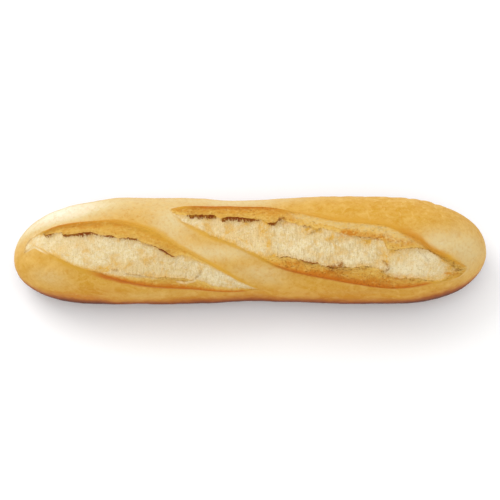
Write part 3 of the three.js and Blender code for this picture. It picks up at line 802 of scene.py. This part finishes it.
# Darker towards the tray: browning from its heat, with painted shade laid over it round the foot.
crust = ((1 - above_tray.ramp(*LOW_CRUST_AND_SHADE)) * 0.6).blend(crust, CRUST_DEEP)
roast_height = above_tray - field["roast"] + waver(5, 6.0)
crust = (1 - roast_height.ramp(*ROASTED_AND_SHADED)).blend(crust, BASE_ROAST_AND_SHADE)
crust = (1 - roast_height.ramp(*BROWNED_AND_SHADED)).blend(crust, BASE_BROWN_AND_SHADE)
underside = 1 - (above_tray + spots(6, detail=4) * 5).ramp(*ON_TRAY)
tray_skin = mottling(14, 0.3, 0.7, detail=5, distortion=1.2).blend(TRAY_BROWN, TRAY_TAN)
tray_skin = mottling(2.2, 0.5, 0.7, share=0.5, detail=5, distortion=0.8).blend(tray_skin, BASE_BROWN_AND_SHADE)
tray_skin = mottling(5, 0.56, 0.76, share=0.35, detail=5).blend(tray_skin, TRAY_FLOUR)
crust = underside.blend(crust, tray_skin)

# ------------------------------------------------------------------ the lips
# Dry skin rolled up along each slash: streaked gold, deeper near the cut edge, lighter towards the torn
# edge with a painted highlight along the torn edge itself, pitted where the dough was porous with painted
# shade in the pits, and bleached where flour stayed on the dough.
LIP_GOLD = srgb(204, 158, 64)
LIP_DEEP = srgb(194, 128, 30)
LIP_LIGHT = srgb(218, 180, 96)
LIP_PALE = srgb(216, 178, 100)
LIP_BLEACHED = srgb(214, 187, 126)
CREASE = srgb(184, 100, 2)

torn_line = field["rip"] + waver(1.0, 2.4 - 1.2 * field["fold"], detail=4)
unfolded = 1 - field["fold"].ramp(0.0, 0.5)
cut_line = field["inner"] + waver(1.6, 1 + 2 * unfolded)
inside = (cut_line / (1 + 1.5 * unfolded)).ramp(0.1, 1.0) * field["open"].ramp(0.0, 0.4)

down_lip = field["inner"] / (field["inner"] - field["rip"]).math("MAXIMUM", 0.1)
streaks = spots(2.0, detail=4, place=wrapped, stretch=(4, 1, 1), distortion=1.5)
lip = (streaks.ramp(0.36, 0.6) * 0.5 + down_lip.ramp(0.1, 0.7) * 0.5).blend(LIP_DEEP, LIP_GOLD)
lip = mottling(3.0, 0.5, 0.72, share=0.4, detail=4, distortion=0.8).blend(lip, LIP_DEEP)
lip = (down_lip.ramp(0.45, 0.95) * mottling(2.0, 0.35, 0.6, detail=4) * 0.6).blend(lip, LIP_LIGHT)
flakes = mottling(1.4, 0.48, 0.7, detail=5, place=wrapped, stretch=(2, 1, 1), distortion=0.5)
lip = (flakes * (0.45 + 0.35 * field["porous"])).blend(lip, LIP_LIGHT)
# The lip's pits are painted darker with the crease's brown, as painted shade in them.
lip_pits = mottling(0.9, 0.58, 0.68) * field["porous"]
lip = (lip_pits * 0.6).blend(lip, CREASE)
# A painted highlight along the lip's torn edge.
torn_edge_highlight = 1 - (field["rip"] + 0.6).math("ABSOLUTE").ramp(0.1, 1.0)
lip = (torn_edge_highlight * 0.45).blend(lip, LIP_LIGHT)
bleached = mottling(0.9, 0.4, 0.66, detail=4, place=wrapped, stretch=(3, 1, 1), distortion=1.0)
bleached = bleached.blend(LIP_PALE, LIP_BLEACHED)
bleach = field["bleach"] * (1 - (down_lip + waver(2.5, 0.8)).ramp(0.5, 0.8))
lip = bleach.blend(lip, bleached)

# ------------------------------------------------------------------ the crumb
# The white inside of the dough, torn open late and hardly baked: cream with lighter patches, some of them a
# painted highlight where it domes up, painted shade between its fibres and in small pits, and golden where
# the heat caught it.
CRUMB_CREAM = srgb(214, 190, 134)
CRUMB_LIGHT = srgb(228, 212, 172)
CRUMB_SHADE = srgb(178, 146, 92)
CRUMB_ROSY = srgb(206, 178, 134)
CRUMB_GOLD = srgb(210, 160, 60)
AMBER = srgb(190, 120, 24)

softness = 5.0 - 4.4 * field["fold"]  # a lip that isn't folded turns into crumb over a longer way
crumb = (torn_line / softness).ramp(-0.15, 0.35) * field["open"].ramp(0.0, 0.5)
fibres = spots(0.6, place=wrapped, stretch=(1, 6, 1), distortion=0.6)
tufts = mottling(1.5, 0.5, 0.64, place=wrapped, stretch=(1, 4, 1), distortion=0.8)
crumb_tone = mottling(1.6, 0.3, 0.66, detail=5, distortion=0.4).blend(CRUMB_CREAM, CRUMB_LIGHT)
crumb_tone = mottling(3.4, 0.5, 0.68, share=0.35, detail=4, distortion=1.0).blend(crumb_tone, CRUMB_ROSY)
edge_gold = (1 - torn_line.ramp(0.3, 3.2)) * field["toast"] * 0.35
golden = mottling(6.5, 0.5, 0.68, share=0.5, detail=4, distortion=0.6)
golden = golden + field["gold"] * mottling(1.6, 0.25, 0.6) * 0.9 + edge_gold
crumb_tone = golden.blend(crumb_tone, CRUMB_GOLD)
# Lighter crumb in the cream patches, partly a painted highlight on its raised dome.
crumb_tone = (field["cream_and_highlight"] * mottling(2.2, 0.2, 0.6)).blend(crumb_tone, CRUMB_LIGHT)
crumb_tone = (tufts * field["strands"] * 0.35).blend(crumb_tone, CRUMB_SHADE)
crumb_tone = (fibres.ramp(0.5, 0.66) * (0.2 + 0.22 * field["strands"])).blend(crumb_tone, CRUMB_SHADE)
crumb_tone = mottling(0.8, 0.56, 0.7, share=0.55, detail=2).blend(crumb_tone, CRUMB_SHADE)
color = inside.blend(crust, lip)
color = crumb.blend(color, crumb_tone)
color = (field["amber"] * mottling(1.6, 0.3, 0.6, detail=4)).blend(color, AMBER)

# ------------------------------------------------------------------ creases, painted edge highlights and cracks
# The crust creases and burns to a warm brown where it turns into a lip, and a thin painted highlight lies
# along the cut edge at the tips. The cracks and nicks are torn deep and painted a dark brown, their own
# brown with the shade in them painted in, with ragged teeth.
CREASE_GOLD = srgb(202, 151, 46)
# The near white of a painted highlight on thin edges.
RIM_HIGHLIGHT = srgb(240, 222, 178)
# The cracks' own brown with the shade in them painted in.
CRACK_BROWN_AND_SHADE = srgb(156, 104, 22)
CRACK_RED_AND_SHADE = srgb(126, 58, 0)

fold = (field["inner"] - 0.5) / field["reach"]
fold_line = 1 - (fold.math("ABSOLUTE") + waver(4, 0.8, detail=4)).ramp(0.1, 1.3)
fold_line = fold_line * (field["crease"] * 2).math("MINIMUM", 1.0)
crease_tone = field["crease"].ramp(0.45, 0.9).blend(CREASE_GOLD, CREASE)
color = (fold_line * (1 - 0.6 * crumb)).blend(color, crease_tone)
# A thin painted highlight along the cut edge at the slashes' tips, and along the pale ridges by torn edges.
rim_highlight = (1 - (field["inner"] - 0.2).math("ABSOLUTE").ramp(0.3, 1.3)) * field["rim"]
color = rim_highlight.math("MAXIMUM", field["edge_highlight"]).blend(color, RIM_HIGHLIGHT)

teeth = mottling(1.2, 0.32, 0.62, detail=4, place=wrapped, stretch=(1.3, 1.5, 1), distortion=1.0)
gape = field["tear"] * (0.8 + 0.7 * teeth)
# The cracks are painted dark: painted shade in the gap, over the torn edge's own brown.
torn_brown_and_shade = (torn_line + 0.2).ramp(-0.25, 0.2) * (1 - (torn_line / gape.math("MAXIMUM", 0.05)).ramp(0.5, 1.1))
torn_brown_and_shade = torn_brown_and_shade * (teeth + field["tear"] * 1.8).ramp(0.5, 1.25) * field["tear"].ramp(0.03, 0.2) * field["open"]
# How patchy the cracks' painted darkness is along them.
patchiness = (field["tear"] * 1.3 + waver(1.8, 2.4, place=wrapped)).ramp(0.3, 0.8)
torn_brown_and_shade = torn_brown_and_shade * (0.15 + 0.85 * patchiness)
crack_tone = (field["tear"] * mottling(2.4, 0.3, 0.5, detail=2)).blend(CRACK_BROWN_AND_SHADE, CRACK_RED_AND_SHADE)
# The nicks are painted dark the same way, with the shade in their small holes.
nicked = field["nick"] * mottling(0.9, 0.3, 0.6)
color = torn_brown_and_shade.math("MAXIMUM", nicked).blend(color, crack_tone)

# ------------------------------------------------------------------ the loaf's finish
# Dry baked dough: a dull sheen on the crust and less on the crumb, a little light let through, and a fine
# grain that is strongest on the fluff of the crumb and the rough lips.
CRUST_ROUGHNESS = 0.58
CRUMB_ROUGHNESS = 0.85
GLOSS = 0.18
GLOW = {"share": 0.03, "colour": (1.0, 0.6, 0.3), "depth": 0.0015}

tree.links.new(color.socket, surface.inputs["Base Color"])
rough = CRUST_ROUGHNESS + (CRUMB_ROUGHNESS - CRUST_ROUGHNESS) * crumb
tree.links.new(rough.socket, surface.inputs["Roughness"])
surface.inputs["Specular IOR Level"].default_value = GLOSS
surface.inputs["Subsurface Weight"].default_value = GLOW["share"]
surface.inputs["Subsurface Radius"].default_value = GLOW["colour"]
surface.inputs["Subsurface Scale"].default_value = GLOW["depth"]
grain = 0.05 * spots(0.7, detail=2) + 0.14 * spots(2.2)
fluff = (0.3 * (1 - fibres) * field["strands"] + 0.35 * spots(1.0, detail=4)) * crumb
rough_lip = 0.25 * streaks + 0.3 * spots(1.2, detail=4) - 0.3 * lip_pits
rough_lip = rough_lip * inside * (1 - crumb)
bumps = start.node("Bump", {}, {"Strength": 1.0, "Distance": MM, "Height": grain + fluff + rough_lip})
tree.links.new(bumps.socket, surface.inputs["Normal"])
mesh.materials.append(material)

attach(loaf, "root")
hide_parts("baguette")

# ------------------------------------------------------------------ the table
# A plain matt white table top. It isn't part of the loaf: it only gives it a ground to stand on and to cast
# its shadow on.
HALF_SIDE = 3.0
TABLE_WHITE = (0.95, 0.95, 0.95, 1)
TABLE_ROUGHNESS = 0.8

table_mesh = bpy.data.meshes.new("table")
corners = [(-HALF_SIDE, -HALF_SIDE, 0), (HALF_SIDE, -HALF_SIDE, 0), (HALF_SIDE, HALF_SIDE, 0),
           (-HALF_SIDE, HALF_SIDE, 0)]
table_mesh.from_pydata(corners, [], [(0, 1, 2, 3)])
table = bpy.data.objects.new("table", table_mesh)
bpy.context.scene.collection.objects.link(table)
white = bpy.data.materials.new("white_table")
white.use_nodes = True
white.node_tree.nodes["Principled BSDF"].inputs["Base Color"].default_value = TABLE_WHITE
white.node_tree.nodes["Principled BSDF"].inputs["Roughness"].default_value = TABLE_ROUGHNESS
table_mesh.materials.append(white)

# ------------------------------------------------------------------ the light and the camera
# A bright white room lights the loaf from all round, and one square softbox stands behind it on the left.
# The camera looks down at the loaf through a long lens, steeply from the front.
ROOM_WHITE = (1, 1, 1, 1)
ROOM_STRENGTH = 1.05
SOFTBOX = {"place": (-0.7, 0.7, 0.9), "side": 0.8, "watts": 6}
LENS = 100
SENSOR = 36
ELEVATION = math.radians(70)
DISTANCE = 0.8205
AIM = Vector((0, -0.00086, 0.020))

world = bpy.data.worlds.new("studio")
bpy.context.scene.world = world
world.use_nodes = True
world.node_tree.nodes["Background"].inputs["Color"].default_value = ROOM_WHITE
world.node_tree.nodes["Background"].inputs["Strength"].default_value = ROOM_STRENGTH

light = bpy.data.lights.new("key_softbox", "AREA")
light.shape = "SQUARE"
light.size = SOFTBOX["side"]
light.energy = SOFTBOX["watts"]
softbox = bpy.data.objects.new("key_softbox", light)
bpy.context.scene.collection.objects.link(softbox)
softbox.location = SOFTBOX["place"]
softbox.rotation_euler = (-Vector(SOFTBOX["place"])).to_track_quat("-Z", "Y").to_euler()

camera_data = bpy.data.cameras.new("camera")
camera_data.lens = LENS
camera_data.sensor_width = SENSOR
camera = bpy.data.objects.new("camera", camera_data)
bpy.context.scene.collection.objects.link(camera)
camera.location = AIM + DISTANCE * Vector((0, -math.cos(ELEVATION), math.sin(ELEVATION)))
camera.rotation_euler = (AIM - camera.location).to_track_quat("-Z", "Y").to_euler()
bpy.context.scene.camera = camera
bpy.context.scene.view_settings.view_transform = "Standard"
